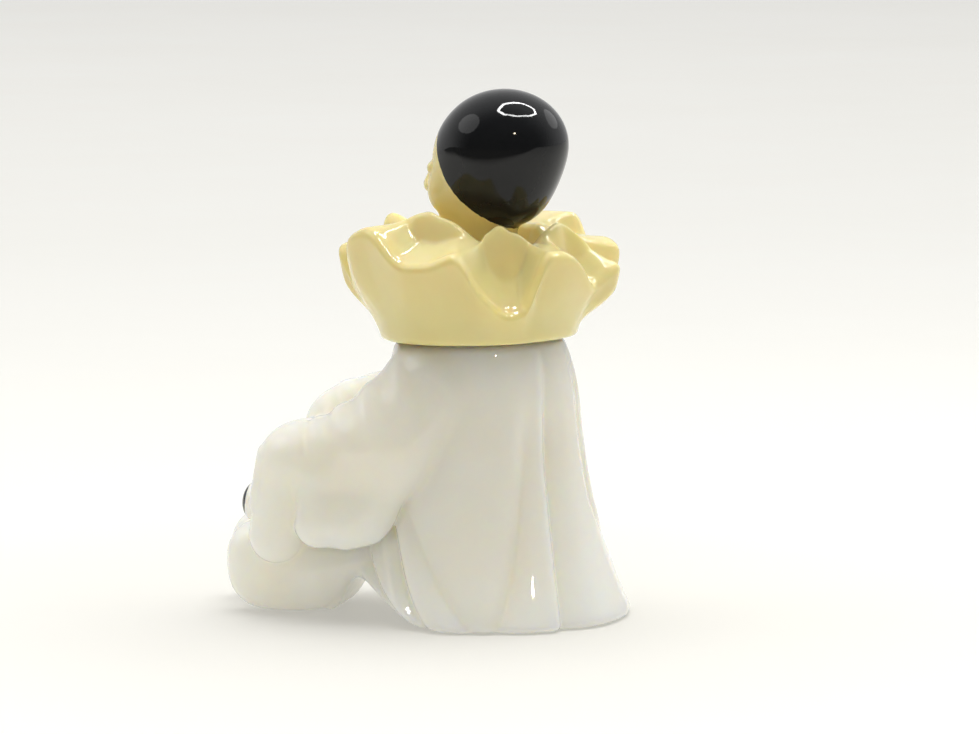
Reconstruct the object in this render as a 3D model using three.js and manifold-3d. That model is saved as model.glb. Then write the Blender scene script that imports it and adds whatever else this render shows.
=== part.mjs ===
// Seated clown cologne bottle: an opal glass figure in a loose smock, and a cream screw cap moulded
// as a frilled ruff with the clown's head. Millimetres, +Z up, the figure faces -Y and its left is +X.
// The origin is on the floor, on the neck's axis.
import * as THREE from 'three';
import { mergeVertices } from 'three/addons/utils/BufferGeometryUtils.js';
import { triTable } from 'three/addons/objects/MarchingCubes.js';
import Module from 'manifold-3d';

// Driving sizes of the glass
const SHOULDER_HEIGHT = 57.6;
const CAP_LEAN = 1.5;
const GLASS_WALL = 4;
const BASE_THICKNESS = 5;
const NECK_RADIUS = 8.4;
const NECK_HEIGHT = 9.6;
const BORE_RADIUS = 4.7;
const THREAD_DEPTH = 0.9;
const THREAD_PITCH = 3.2;
const THREAD_TURNS = 1.5;

// Driving sizes of the cap
const SEAT_GAP = 0.3;
const THREAD_CLEARANCE = 0.5;
const CEILING_CLEARANCE = 0.9;
const CAP_WALL = 2.3;
const ROLL = 1.5;
const RUFF_RADIUS = 20.3;
const RUFF_SHIFT = -1.6;
const RUFF_HEIGHT = 26;
const HEAD_HEIGHT = 28.2;
const HEAD_TURN = 13;
const HEAD_BOW = 2.5;

// Facet sizes: cells across and up, steps along each half fold of the ruff, and steps round an axis. The
// cells of the glass go with its height, so that the facets keep their places on the figure.
const GLASS_CELL = [SHOULDER_HEIGHT / 19.2, SHOULDER_HEIGHT / 13.1];
const CAVITY_CELL = [SHOULDER_HEIGHT / 11.08, SHOULDER_HEIGHT / 9.93];
const HEAD_CELL = [2.8, 2.8];
const FOLD_STEPS = 2;
const ROUND_STEPS = 24;
const KNOB_STEPS = 12;

// Carving is laid out in shares of each form's height: 57 to the shoulder, 26 to the top of the frill
// and 28.2 from chin to crown
const glassUnit = SHOULDER_HEIGHT / 57;
const ruffUnit = RUFF_HEIGHT / 26;
const headUnit = HEAD_HEIGHT / 28.2;

// Folds of the ruff, anticlockwise from the front: bearing in degrees from +X, height and radius of the
// rim, then bearing, height and radius of the inner lip
const FOLDS = [
  [-98, 18.2, 29, -98, 22, 15], [-87, 18.2, 29, -86, 21.6, 15], [-73, 9, 24.6, -72, 24.6, 15],
  [-52, 22.8, 26.4, -62, 24, 16.4], [-43, 23.6, 26.4, -52, 24.8, 16], [-22, 15.8, 26.4, -27, 27.3, 15],
  [-12, 15.9, 26.4, -14, 26, 15], [2, 17.8, 26.6, 15.6, 20.9, 15], [25, 5.7, 22.9, 24, 23.4, 15],
  [31, 5.2, 22.9, 31, 24.3, 15], [37, 5.3, 22.9, 38, 23.2, 15], [47.5, 17.6, 26.8, 59, 19.7, 15],
  [55, 17.4, 26.8, 67, 19.9, 15], [84, 9.3, 25.2, 86, 23.9, 17.4], [99, 13.6, 29, 101, 17.6, 22.4],
  [105, 11.5, 28.4, 107, 20, 20], [112, 16.8, 30, 114, 20.6, 17], [122, 17.8, 29.6, 126, 21, 15.6],
  [132, 17.2, 27.4, 138, 22.6, 15.4], [141, 22.6, 27, 148, 22.4, 15], [160, 22.6, 26.8, 163, 22.8, 15],
  [180, 12.5, 25.2, 180, 24.6, 15], [199, 20.2, 27, 198, 21, 15], [218, 12, 25.2, 217, 24.5, 15],
  [238, 23.4, 27, 238, 21.6, 15], [251, 11, 25.4, 251, 24, 15], [262, 18.2, 29, 262, 22, 15],
];

// Each side of the figure: sign of X, lift and draw-back of the forearm, lift and draw-back of the hand,
// and advance of the shoe
const SIDES = [[1, 0, 0, 0, 0, 0], [-1, 6.2, 2.2, 3, 5, 3.4]];

// Round forms, studs on the glass and details of the face: middle, half sizes, pitch in degrees about X
const STUDS = [
  [[0, -48.9, 21.6], [4.3, 3.1, 4.3], 7], [[0, -20.2, 41.6], [3.3, 2.4, 3.3], 12],
  [[0, -18.3, 50], [3.3, 2.4, 3.3], 4],
];
const FACE_DETAILS = [
  [[4.5, -12.9, -1.2], [2.7, 1.8, 1.7], 0], [[-4.5, -12.9, -1.2], [2.7, 1.8, 1.7], 0],
  [[0, -15.2, -2.9], [1.5, 2.4, 3.9], -12], [[0, -14.4, -8.4], [2.8, 1.4, 0.85], 0],
  [[0, -14.1, -9.9], [2.3, 1.4, 0.85], 0],
];

// Valleys between the folds of the smock: bearing at the hem, at mid height and at the shoulder,
// depth at the hem, width before and after the valley, and how far up the figure it reaches
const FOLD_VALLEYS = [
  [-17, -94, -110, 1.2, 3.6, 4, 0.6], [-13, -53, -70, 1.2, 3.6, 4, 0.55], [8, -34, -50, 0.7, 4, 7, 0.5],
  [15, 33, 46, 1.5, 4, 8, 0.95], [44.5, 52.5, 58, 1.7, 4, 8, 1.15], [140, 92, 88, 1.1, 4, 4, 1.1],
  [135.5, 127.5, 122, 1.7, 8, 4, 1.15], [165, 147, 134, 1.5, 8, 4, 0.95],
  [172, 214, 230, 0.7, 7, 4, 0.5], [193, 233, 250, 1.2, 4, 3.6, 0.55], [197, 274, 290, 1.2, 4, 3.6, 0.6],
];

const rad = THREE.MathUtils.degToRad;
const clamp = THREE.MathUtils.clamp;
const mix = THREE.MathUtils.lerp;
const ease = (t) => t * t * (3 - 2 * t);
const turnDifference = (a, b) => THREE.MathUtils.euclideanModulo(a - b + 180, 360) - 180;

// Blended union and blended cut of two distances, k millimetres wide
function blend(a, b, k) {
  const h = Math.max(k - Math.abs(a - b), 0) / k;
  return Math.min(a, b) - (h * h * k) / 4;
}

function blendCut(a, b, k) {
  return -blend(-a, -b, k);
}

// Distance to a tapered bar with round ends
function bar([x, y, z], a, b, ra, rb) {
  const [dx, dy, dz] = [b[0] - a[0], b[1] - a[1], b[2] - a[2]];
  const [px, py, pz] = [x - a[0], y - a[1], z - a[2]];
  const t = clamp((px * dx + py * dy + pz * dz) / (dx * dx + dy * dy + dz * dz), 0, 1);
  return Math.hypot(px - dx * t, py - dy * t, pz - dz * t) - mix(ra, rb, t);
}

// Distance, near enough, to an ellipsoid pitched about X
function egg([x, y, z], c, r, pitch = 0) {
  const [cs, sn] = [Math.cos(rad(pitch)), Math.sin(rad(pitch))];
  const [px, dy, dz] = [x - c[0], y - c[1], z - c[2]];
  const [py, pz] = [cs * dy + sn * dz, cs * dz - sn * dy];
  const k0 = Math.hypot(px / r[0], py / r[1], pz / r[2]);
  const k1 = Math.hypot(px / r[0] ** 2, py / r[1] ** 2, pz / r[2] ** 2);
  return (k0 * (k0 - 1)) / Math.max(k1, 1e-6);
}

// The smock from shoulder to hem, a flared bell leaning a little forward, with its folds
function smock([x, y, z], folded) {
  const h = (z * glassUnit) / SHOULDER_HEIGHT;
  const dy = y - 0.6 + 2 * h;
  const up = clamp(1 - h, 0, 1.1);
  let radius = 19.6 + 10 * up ** 2.7 - 2.6 * clamp((z - 43.5) / 13.5, 0, 1.2) ** 2.2;
  const bearing = THREE.MathUtils.radToDeg(Math.atan2(dy, x));
  const front = Math.exp(-((turnDifference(bearing, -90) / 25) ** 2));
  radius += 6.5 * front * ease(clamp(1 - h / 0.4, 0, 1));
  if (folded) {
    for (const [hem, middle, top, depth, before, after, reach] of FOLD_VALLEYS) {
      const rise = clamp(h / 0.42, 0, 1) ** 0.8;
      const line = hem + (middle - hem) * rise + (top - middle) * clamp((h - 0.42) / 0.58, 0, 1);
      const arc = rad(turnDifference(bearing, line)) * radius;
      const width = arc < 0 ? before : after;
      const fade = depth * ease(clamp((reach - h) / (0.55 * reach), 0, 1));
      radius -= fade * Math.exp(-(Math.sqrt(arc * arc + 0.3) - 0.55) / (0.45 * width));
      radius += 0.2 * fade * Math.exp(-(((Math.abs(arc) - 1.1 * width) / (0.7 * width)) ** 2));
    }
  }
  return (Math.hypot(x, dy) - radius) * 0.93;
}

// One wide sleeve; raise and draw lift the forearm and pull it back
function sleeve(p, raise, draw) {
  const elbow = [15.6, -17, 36.5 + 0.4 * raise];
  const upper = bar(p, [9.5, -8, 46.2], elbow, 12, 10.4);
  return blend(upper, bar(p, elbow, [15, -33 + draw, 31.5 + raise], 10.4, 8.2), 4);
}

// Cloth of the sleeve that hangs from the forearm: the mouth in front and a soft fall behind it
function sleeveFolds(p, raise, draw) {
  const mouth = bar(p, [15.8, -36.6 + draw / 2, 33 + raise / 2], [15, -40.6, 17], 7, 5.8);
  let fall = bar(p, [19, -29.4, 30], [19.6, -30.6, 20.2], 5.2, 4.9);
  for (const [y, bottom, r] of [[-25, 15.1, 5.2], [-20.6, 16.2, 4.8], [-18.2, 19.4, 4]]) {
    fall = blend(fall, bar(p, [19, y + 2, 30], [19.6, y, bottom + r], 5, r), 2);
  }
  return blend(mouth, fall, 0.9);
}

// Thigh and shin under the smock
function leg(p) {
  const thigh = bar(p, [7, -14, 26], [10.5, -35.5, 29.5], 8.6, 8.8);
  return blend(thigh, bar(p, [10.5, -35.5, 29.5], [8, -41, 12], 8.8, 7.4), 3);
}

function shoe(p, ahead) {
  const sole = egg(p, [7.6, -40 - ahead, 6.6], [6.8, 12, 7.4], 2);
  const instep = egg(p, [7.6, -46.2 - ahead, 11.2], [6.3, 7, 7.8]);
  return blend(blend(sole, instep, 3), bar(p, [6.5, -22, 12.5], [8.2, -33.5, 9.5], 5.5, 7.4), 3);
}

// A hand laid over the knee, with four fingers down the shin
function hand(p, raise, draw) {
  let d = egg(p, [13.6, -37.6 + draw, 34.6 + raise], [5.6, 7.4, 5.2], 35);
  for (let i = 0; i < 4; i += 1) {
    const x = 9.6 + 2.5 * i;
    const low = 21.5 + 1.2 * Math.abs(i - 1.3);
    d = blend(d, bar(p, [x, -42.2 + draw, 34 + raise], [x, -44.4 + draw / 2, low + raise], 1.9, 1.6), 0.8);
  }
  return d;
}

// Height over the shoulder, a plane square to the cap's axis
const overShoulder = ([, y, z]) => z - SHOULDER_HEIGHT - Math.tan(rad(CAP_LEAN)) * y;

// Height of the arch under the figure, between the smock's hem and the shoes
const archHeight = ([, y]) => 8.4 * Math.exp(-(((y + 25) / (y < -25 ? 4 : 11.5)) ** 2)) - 0.5;

// The whole outside of the glass below its neck
function figure(q) {
  const p = q.map((v) => v / glassUnit);
  let d = smock(p, true);
  for (const [side, raise, draw, handRaise, handDraw, ahead] of SIDES) {
    const s = [p[0] * side, p[1], p[2]];
    d = blend(d, blend(sleeve(s, raise, draw), sleeveFolds(s, raise, draw), 1.4), 1.6);
    d = blend(d, blend(leg(s), shoe(s, ahead), 1.6), 1);
    d = blend(d, hand(s, handRaise, handDraw), 1);
  }
  d = blend(d, bar(p, [0, -38, 31], [0, -40, 19], 8.2, 7.6), 4);
  d = blend(d, egg(p, [0, -38, 8], [5, 12, 8]), 2);
  d = blendCut(d, archHeight(p) - p[2], 2.6);
  return blendCut(d, overShoulder(q) / glassUnit, 1.6) * glassUnit;
}

// The hollow inside the glass, one wall in from the plain body, sleeves and legs
function hollow(q) {
  const p = q.map((v) => v / glassUnit);
  const round = 0.75 * GLASS_WALL;
  let d = smock(p, false) * glassUnit + 1.25 * GLASS_WALL;
  for (const [side, raise, draw] of SIDES) {
    const s = [p[0] * side, p[1], p[2]];
    d = blend(d, sleeve(s, raise, draw) * glassUnit + GLASS_WALL, round);
    d = blend(d, leg(s) * glassUnit + GLASS_WALL, round);
  }
  const bottom = Math.max(BASE_THICKNESS, archHeight(p) * glassUnit + 1.25 * GLASS_WALL);
  return blendCut(blendCut(d, bottom - q[2], round), overShoulder(q) + GLASS_WALL, GLASS_WALL);
}

// The head about the middle of the skull, face towards -Y, with its neck
function head(q) {
  const p = q.map((v) => v / headUnit);
  let d = blend(egg(p, [0, 0.5, 2.4], [13.5, 13.5, 11.8]), egg(p, [0, 0.3, -3], [10.9, 10.9, 11.4]), 3);
  d = blend(d, egg(p, [0, -5.6, -3.2], [10.4, 9.4, 12.2]), 3);
  for (const side of [1, -1]) {
    d = blend(d, egg(p, [4.8 * side, -10.6, -6.2], [4.4, 3.8, 4.4]), 2.5);
    d = blendCut(d, -egg(p, [4.6 * side, -16.6, -0.7], [3.6, 2.5, 2.5]), 1.8);
  }
  d = blend(d, egg(p, [0, -9.8, -12], [4.8, 4.4, 3.8]), 3);
  d = blend(d, bar(p, [0, -5, -10], [0, -4.6, -30], 6.4, 7), 2);
  return d * headUnit;
}

// Corners and edges of one cell, in the order of the triangle table
const CORNERS = [[0, 0, 0], [1, 0, 0], [1, 1, 0], [0, 1, 0], [0, 0, 1], [1, 0, 1], [1, 1, 1], [0, 1, 1]];
const EDGES = [
  [0, 1], [1, 2], [3, 2], [0, 3], [4, 5], [5, 6], [7, 6], [4, 7], [0, 4], [1, 5], [2, 6], [3, 7],
];

// Closed mesh of the surface where a distance is nought, on a grid of cells
function polygonise(distance, low, high, [wide, tall]) {
  const size = [wide, wide, tall].map((cell, i) => Math.ceil((high[i] - low[i]) / cell) + 1);
  const at = (i, j, k) => (k * size[1] + j) * size[0] + i;
  const place = (i, j, k) => [low[0] + i * wide, low[1] + j * wide, low[2] + k * tall];
  const values = new Float64Array(size[0] * size[1] * size[2]);
  const least = 0.04 * wide;
  for (let k = 0; k < size[2]; k += 1) {
    for (let j = 0; j < size[1]; j += 1) {
      for (let i = 0; i < size[0]; i += 1) {
        const d = distance(place(i, j, k));
        values[at(i, j, k)] = Math.abs(d) < least ? Math.sign(d || 1) * least : d;
      }
    }
  }
  const points = [];
  const faces = [];
  const known = new Map();
  const crossing = (i, j, k, edge) => {
    const [a, b] = EDGES[edge].map((c) => [i + CORNERS[c][0], j + CORNERS[c][1], k + CORNERS[c][2]]);
    const key = at(...a) * 3 + [0, 1, 2].find((n) => a[n] !== b[n]);
    if (!known.has(key)) {
      const [va, vb] = [values[at(...a)], values[at(...b)]];
      const t = va / (va - vb);
      known.set(key, points.length);
      points.push(new THREE.Vector3(...place(...a)).lerp(new THREE.Vector3(...place(...b)), t));
    }
    return known.get(key);
  };
  for (let k = 0; k < size[2] - 1; k += 1) {
    for (let j = 0; j < size[1] - 1; j += 1) {
      for (let i = 0; i < size[0] - 1; i += 1) {
        let pattern = 0;
        CORNERS.forEach(([di, dj, dk], n) => {
          if (values[at(i + di, j + dj, k + dk)] < 0) pattern |= 1 << n;
        });
        for (let n = pattern * 16; triTable[n] !== -1; n += 3) {
          faces.push([0, 2, 1].map((m) => crossing(i, j, k, triTable[n + m])));
        }
      }
    }
  }
  return { points, faces };
}

// Evens out a mesh's facets along the surface and sets each corner back onto it
function settle({ points, faces }, distance, rounds) {
  const near = points.map(() => new Set());
  for (const [a, b, c] of faces) {
    near[a].add(b).add(c);
    near[b].add(a).add(c);
    near[c].add(a).add(b);
  }
  const step = 0.05;
  const slope = ({ x, y, z }) => new THREE.Vector3(
    distance([x + step, y, z]) - distance([x - step, y, z]),
    distance([x, y + step, z]) - distance([x, y - step, z]),
    distance([x, y, z + step]) - distance([x, y, z - step]),
  ).divideScalar(2 * step);
  for (let round = 0; round < rounds; round += 1) {
    const moved = points.map((point, n) => {
      const middle = new THREE.Vector3();
      near[n].forEach((m) => middle.add(points[m]));
      const pull = middle.divideScalar(near[n].size).sub(point).multiplyScalar(0.5);
      const normal = slope(point).normalize();
      const next = point.clone().add(pull).addScaledVector(normal, -pull.dot(normal));
      const grade = slope(next);
      const off = distance(next.toArray()) / Math.max(grade.lengthSq(), 0.3);
      return next.addScaledVector(grade, -clamp(off, -1, 1));
    });
    moved.forEach((point, n) => points[n].copy(point));
  }
  return { points, faces };
}

const wasm = await Module();
wasm.setup();

function solidOf({ points, faces }) {
  const vertProperties = new Float32Array(points.flatMap((p) => p.toArray()));
  const triVerts = new Uint32Array(faces.flat());
  return new wasm.Manifold(new wasm.Mesh({ numProp: 3, vertProperties, triVerts }));
}

function solidOfGeometry(geometry) {
  const bare = geometry.index ? geometry.toNonIndexed() : geometry;
  const kept = new THREE.BufferGeometry().setAttribute('position', bare.getAttribute('position'));
  const merged = mergeVertices(kept, 1e-4);
  const vertProperties = new Float32Array(merged.attributes.position.array);
  const triVerts = new Uint32Array(merged.index.array);
  return new wasm.Manifold(new wasm.Mesh({ numProp: 3, vertProperties, triVerts }));
}

function geometryOf(solid) {
  const { vertProperties, triVerts, numProp } = solid.getMesh();
  const positions = [];
  triVerts.forEach((v) => positions.push(...vertProperties.slice(v * numProp, v * numProp + 3)));
  const geometry = new THREE.BufferGeometry();
  geometry.setAttribute('position', new THREE.Float32BufferAttribute(positions, 3));
  geometry.computeVertexNormals();
  return geometry;
}

// A profile of [radius, height] turned about Z
function turned(profile) {
  const shape = profile.map(([r, z]) => new THREE.Vector2(r, z));
  return new THREE.LatheGeometry(shape, ROUND_STEPS).rotateX(Math.PI / 2);
}

// Thread ridge: one triangular section carried up a helix, closed by its end sections
function threadRidge() {
  const rows = Math.round(THREAD_TURNS * ROUND_STEPS);
  const points = [];
  const faces = [];
  const start = (NECK_HEIGHT - THREAD_TURNS * THREAD_PITCH) / 2;
  const root = NECK_RADIUS - 0.9 * THREAD_DEPTH;
  const half = 0.4 * THREAD_PITCH;
  for (let i = 0; i <= rows; i += 1) {
    const turn = (2 * Math.PI * i) / ROUND_STEPS;
    const z = start + (THREAD_PITCH * i) / ROUND_STEPS;
    const tall = THREAD_DEPTH * Math.min(1, (4 * Math.min(i, rows - i) + 1) / ROUND_STEPS);
    for (const [r, dz] of [[root, -half], [NECK_RADIUS + tall, 0], [root, half]]) {
      points.push(new THREE.Vector3(r * Math.cos(turn), r * Math.sin(turn), z + dz));
    }
  }
  for (let i = 0; i < rows; i += 1) {
    for (let j = 0; j < 3; j += 1) {
      const [a, b] = [3 * i + j, 3 * i + ((j + 1) % 3)];
      faces.push([a, a + 3, b], [b, a + 3, b + 3]);
    }
  }
  faces.push([0, 1, 2], [3 * rows, 3 * rows + 2, 3 * rows + 1]);
  return { points, faces };
}

// Neck and cap share one axis, which leans forward from the shoulder
const leaning = new THREE.Matrix4().makeRotationX(rad(CAP_LEAN)).setPosition(0, 0, SHOULDER_HEIGHT);

// Joins round forms to a solid, laid out by a matrix
function addForms(solid, forms, layout) {
  return forms.reduce((whole, [middle, halves, pitch]) => {
    const form = new THREE.SphereGeometry(1, KNOB_STEPS, KNOB_STEPS / 2).rotateX(Math.PI / 2);
    form.scale(...halves).rotateX(rad(-pitch)).translate(...middle).applyMatrix4(layout);
    return whole.add(solidOfGeometry(form));
  }, solid);
}

const uniform = (scale) => new THREE.Matrix4().makeScale(scale, scale, scale);

function makeBottle() {
  const reach = SHOULDER_HEIGHT * 1.16;
  const low = [-0.62 * reach, -reach, -0.05 * reach];
  const high = [0.62 * reach, 0.62 * reach, reach];
  const outside = settle(polygonise(figure, low, high, GLASS_CELL), figure, 4);
  const inside = settle(polygonise(hollow, low, high, CAVITY_CELL), hollow, 3);
  const [sunk, deep, over] = [-GLASS_WALL / 2, -3 * GLASS_WALL, 1.1 * NECK_HEIGHT];
  const chamfer = 0.07 * NECK_RADIUS;
  const neck = turned([[0, sunk], [NECK_RADIUS, sunk], [NECK_RADIUS, NECK_HEIGHT - chamfer],
    [NECK_RADIUS - chamfer, NECK_HEIGHT], [0, NECK_HEIGHT]]).applyMatrix4(leaning);
  const bore = turned([[0, deep], [BORE_RADIUS, deep], [BORE_RADIUS, over], [0, over]]);
  const ridge = threadRidge();
  ridge.points.forEach((p) => p.applyMatrix4(leaning));
  const floor = new THREE.BoxGeometry(4 * reach, 4 * reach, reach).translate(0, 0, -reach / 2);
  const glass = addForms(solidOf(outside), STUDS, uniform(glassUnit))
    .add(solidOfGeometry(neck))
    .add(solidOf(ridge))
    .subtract(solidOf(inside))
    .subtract(solidOfGeometry(bore.applyMatrix4(leaning)))
    .subtract(solidOfGeometry(floor));
  return geometryOf(glass);
}

// Rim and inner lip of the frill at a place along its folds, each as bearing, height and radius. The
// rim runs in even waves, and the lip in arches that meet in sharp dips.
function foldAt(turn) {
  const n = Math.floor(turn);
  const [a, b] = [FOLDS[n], FOLDS[n + 1]];
  const t = turn - n;
  const wave = ease(t);
  const quarter = (Math.PI / 2) * t;
  const arch = mix(wave, b[4] > a[4] ? Math.sin(quarter) : 1 - Math.cos(quarter), 0.75);
  const at = (i, share, unit) => mix(a[i], b[i], share) * unit;
  return {
    rim: { bearing: at(0, t, 1), z: at(1, wave, ruffUnit), r: at(2, wave, ruffUnit) },
    lip: { bearing: at(3, t, 1), z: at(4, arch, ruffUnit), r: at(5, wave, ruffUnit) },
  };
}

// Top of the frill from its lip (t = 0) to its rolled rim (t = 1): a steep pocket behind each dip of
// the rim, and an even ridge behind each crest. Points are radius, height and bearing.
function frillTop(turn, t) {
  const { rim, lip } = foldAt(turn);
  const low = rim.z + ROLL;
  const depth = clamp((lip.z - low - 2) / 7, 0, 1);
  const pocket = 0.52 * (1 - ease(clamp(t / 0.2, 0, 1))) + 0.48 * (1 - t) ** 1.4;
  const share = mix(1 - ease(clamp(0.9 * t + 0.05, 0, 1)), pocket, depth);
  const r = mix(lip.r + 0.3 * CAP_WALL, rim.r - 1.1 * ROLL, t);
  return [r, mix(low, lip.z - 0.13 * CAP_WALL, share), mix(lip.bearing, rim.bearing, t)];
}

// Outer wall from its foot (v = 0) to its roll (v = 1). The widest folds swell out low down.
function ruffWall(turn, v) {
  const { rim } = foldAt(turn);
  const swell = clamp((rim.r - 26) / 2.4, 0, 1);
  const low = 0.35 * v + 0.65 * ease(clamp((v - 0.15) / 0.55, 0, 1));
  return [mix(RUFF_RADIUS, rim.r, mix(v ** 1.4, low, swell)), rim.z * v, rim.bearing];
}

// A point one wall inside a line of the ruff, square to it
function oneWallIn(line, turn, t, side) {
  const [r, z, bearing] = line(turn, t);
  const [r2, z2] = line(turn, t + 0.02);
  const k = (side * CAP_WALL) / Math.hypot(r2 - r, z2 - z);
  return [r + (z2 - z) * k, z - (r2 - r) * k, bearing];
}

// Section of the ruff from the well's floor over the frill and down the wall, then up the socket. The
// frill and its wall stand off the neck's axis, and the socket stands on it.
function ruffSection(turn) {
  const { rim, lip } = foldAt(turn);
  const socket = NECK_RADIUS + THREAD_DEPTH + THREAD_CLEARANCE;
  const ceiling = NECK_HEIGHT - SEAT_GAP + CEILING_CLEARANCE;
  const well = ceiling + CAP_WALL;
  const frill = [
    ...[[0, well], [lip.r - 4.6, well], [lip.r - 2.6, mix(well, lip.z, 0.5)], [lip.r, lip.z]]
      .map((point) => [...point, lip.bearing]),
    ...[0.08, 0.2, 0.5, 0.8, 1].map((t) => frillTop(turn, t)),
    [rim.r - 0.3 * ROLL, rim.z + 0.7 * ROLL, rim.bearing],
    ...[1, 0.65, 0.4, 0].map((v) => ruffWall(turn, v)),
    [RUFF_RADIUS - CAP_WALL, 0, rim.bearing], oneWallIn(ruffWall, turn, 0.45, -1),
    ...[0.7, 0.45, 0.2].map((t) => oneWallIn(frillTop, turn, t, 1)),
  ];
  const sleeveRadius = socket + CAP_WALL;
  const seat = [[sleeveRadius, ceiling], [sleeveRadius, 0], [socket, 0], [socket, ceiling], [0, ceiling]];
  const onAxis = ([r, z, bearing], shift) => {
    const a = rad(bearing);
    return [r * Math.cos(a), r * Math.sin(a) + shift, z];
  };
  return [
    ...frill.map((point) => onAxis(point, RUFF_SHIFT)),
    ...seat.map((point) => onAxis([...point, lip.bearing], 0)),
  ];
}

// Closed shell from the section carried round the folds
function ruffShell() {
  const positions = [];
  const sections = [];
  const steps = (FOLDS.length - 1) * FOLD_STEPS;
  for (let i = 0; i < steps; i += 1) sections.push(ruffSection(i / FOLD_STEPS));
  const rows = sections[0].length;
  for (let i = 0; i < steps; i += 1) {
    const [near, next] = [sections[i], sections[(i + 1) % steps]];
    for (let j = 0; j < rows - 1; j += 1) {
      if (j > 0) positions.push(...near[j], ...near[j + 1], ...next[j]);
      if (j < rows - 2) positions.push(...next[j], ...near[j + 1], ...next[j + 1]);
    }
  }
  const geometry = new THREE.BufferGeometry();
  geometry.setAttribute('position', new THREE.Float32BufferAttribute(positions, 3));
  return geometry;
}

function makeCap() {
  const half = HEAD_HEIGHT / 2;
  const [low, high] = [[-1.3 * half, -1.95 * half, -3 * half], [1.3 * half, 1.7 * half, 1.3 * half]];
  const skull = settle(polygonise(head, low, high, HEAD_CELL), head, 3);
  const well = NECK_HEIGHT - SEAT_GAP + CEILING_CLEARANCE + CAP_WALL;
  const place = new THREE.Matrix4().makeRotationZ(rad(-HEAD_TURN))
    .multiply(new THREE.Matrix4().makeRotationX(rad(HEAD_BOW)))
    .setPosition(0, 0.146 * HEAD_HEIGHT, 0.875 * RUFF_HEIGHT + half);
  skull.points.forEach((p) => p.applyMatrix4(place));
  const block = 4 * HEAD_HEIGHT;
  const below = new THREE.BoxGeometry(block, block, block).translate(0, 0, well - (CAP_WALL + block) / 2);
  const onHead = uniform(headUnit).premultiply(place);
  const cap = solidOf(skull).subtract(solidOfGeometry(below)).add(solidOfGeometry(ruffShell()));
  return geometryOf(addForms(cap, FACE_DETAILS, onHead));
}

function piece(name, geometry, colour, roughness) {
  const material = new THREE.MeshStandardMaterial({ color: colour, roughness, metalness: 0 });
  const mesh = new THREE.Mesh(geometry, material);
  mesh.name = name;
  return mesh;
}

const bottle = piece('bottle', makeBottle(), 0xe6e3d8, 0.12);
const cap = piece('ruff_and_head_cap', makeCap(), 0xead9a2, 0.2);
cap.rotation.x = rad(CAP_LEAN);
cap.position.set(0, 0, SHOULDER_HEIGHT);
cap.translateZ(SEAT_GAP);

const clown = new THREE.Group();
clown.add(bottle, cap);

export default clown;
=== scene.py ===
"""Seated clown cologne bottle: a polished opal glass figure under a cream screw cap that is moulded
as a frilled ruff with the clown's head in a black skullcap.

Forms are laid out in millimetres, in the frame's axes (+Z up, the figure faces -Y and its left is
+X), and meshes are made in metres.
"""
import math

import bpy
import numpy as np
from mathutils import Matrix, Vector


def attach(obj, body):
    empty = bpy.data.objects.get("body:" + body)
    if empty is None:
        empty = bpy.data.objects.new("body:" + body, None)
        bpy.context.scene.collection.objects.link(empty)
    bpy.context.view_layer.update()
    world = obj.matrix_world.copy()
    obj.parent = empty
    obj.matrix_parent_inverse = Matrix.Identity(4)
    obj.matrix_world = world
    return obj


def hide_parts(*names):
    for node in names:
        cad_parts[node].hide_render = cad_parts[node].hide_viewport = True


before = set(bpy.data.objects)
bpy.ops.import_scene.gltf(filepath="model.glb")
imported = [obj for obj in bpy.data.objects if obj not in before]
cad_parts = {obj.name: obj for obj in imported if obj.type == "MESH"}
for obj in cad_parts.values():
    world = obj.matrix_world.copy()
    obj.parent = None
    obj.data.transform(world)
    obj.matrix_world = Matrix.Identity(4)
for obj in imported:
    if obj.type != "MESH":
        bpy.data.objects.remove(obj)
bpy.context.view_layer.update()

MM = 0.001

# Driving sizes, as in the solids, in millimetres
SHOULDER_HEIGHT = 57.6
CAP_LEAN = 1.5
NECK_RADIUS = 8.4
NECK_HEIGHT = 9.6
BORE_RADIUS = 4.7
BORE_DEPTH = 12.0
THREAD_DEPTH = 0.9
THREAD_PITCH = 3.2
THREAD_TURNS = 1.5
SEAT_GAP = 0.3
THREAD_CLEARANCE = 0.5
CEILING_CLEARANCE = 0.9
CAP_WALL = 2.3
ROLL = 1.5
RUFF_RADIUS = 20.3
RUFF_SHIFT = -1.6
RUFF_HEIGHT = 26.0
HEAD_HEIGHT = 28.2
HEAD_TURN = 13.0
HEAD_BOW = 2.5

# Carving is laid out in shares of each form's height
GLASS_UNIT = SHOULDER_HEIGHT / 57
RUFF_UNIT = RUFF_HEIGHT / 26
HEAD_UNIT = HEAD_HEIGHT / 28.2

# Mesh resolution: cells of the glass and the head, steps to each half fold and spacing along the ruff's
# section
GLASS_CELL = 0.6
HEAD_CELL = 0.45
FOLD_STEPS = 12
RUFF_SPACING = 0.85

# The smock's bell: radius at the shoulder, flare to the hem, narrowing at the shoulder, reach in front,
# and the share of its height where the lines of the folds bend
SMOCK_RADIUS = 19.6
HEM_FLARE = 10
SHOULDER_TAPER = 2.6
FRONT_REACH = 6.5
FOLD_BEND = 0.42

# Height of the arch between the smock's hem and the shoes, and roundness of the hem's edge
ARCH_HEIGHT = 8.4
HEM_ROUND = 1.4

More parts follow.
